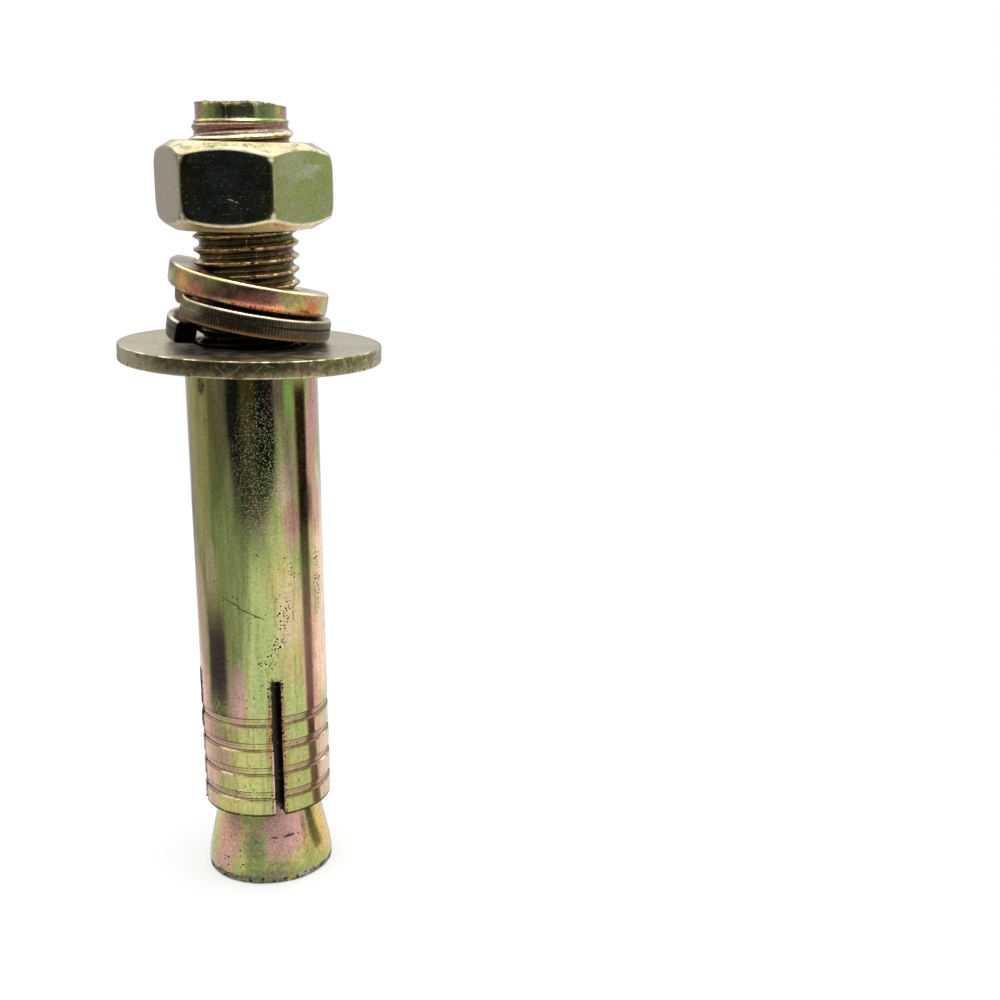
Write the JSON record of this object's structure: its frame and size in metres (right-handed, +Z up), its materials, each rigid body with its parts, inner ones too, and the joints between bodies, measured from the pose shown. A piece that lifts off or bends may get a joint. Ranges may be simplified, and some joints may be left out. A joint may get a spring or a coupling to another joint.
{
  "type": "expansion bolt",
  "caption": "Sleeve expansion bolt for masonry: cone-footed threaded stud in a slotted, grooved sleeve, with a wide flat washer, split spring washers and a hexagon nut.",
  "frame": {"origin": "centre of the cone's flat foot, at the bottom of the bolt", "axes": "+Z up along the stud from the foot to the nut; -Y through the middle of one of the sleeve's slots"},
  "size_m": [0.0401, 0.04, 0.1222],
  "materials": {
    "stud_zinc": "yellow chromate zinc, brown in the thread, worn grey at the foot",
    "sleeve_zinc": "glossy yellow chromate zinc with green, pink and gold drifts and black pits",
    "washer_zinc": "dull yellow chromate zinc, grey-brown on top, olive on the rim",
    "spring_steel": "dark grey-brown plated spring steel with coined ribs",
    "spring_zinc": "gold and pink chromate zinc on spring steel",
    "nut_zinc": "olive and pink chromate zinc, bright gold on the chamfers"
  },
  "bodies": {
    "stud": {"cone_stud": "stud_zinc"},
    "sleeve_stack": {"expansion_sleeve": "sleeve_zinc", "flat_washer": "washer_zinc", "spring_washer_lower": "spring_steel", "spring_washer_upper": "spring_zinc"},
    "nut": {"hex_nut": "nut_zinc"}
  },
  "joints": [
    {"name": "sleeve_slide", "type": "slide", "parent": "stud", "child": "sleeve_stack", "axis": [0, 0, 1], "range_m": [0, 0.002]},
    {"name": "nut_travel", "type": "slide", "parent": "stud", "child": "nut", "axis": [0, 0, 1], "range_m": [-0.002, 0.014]}
  ]
}
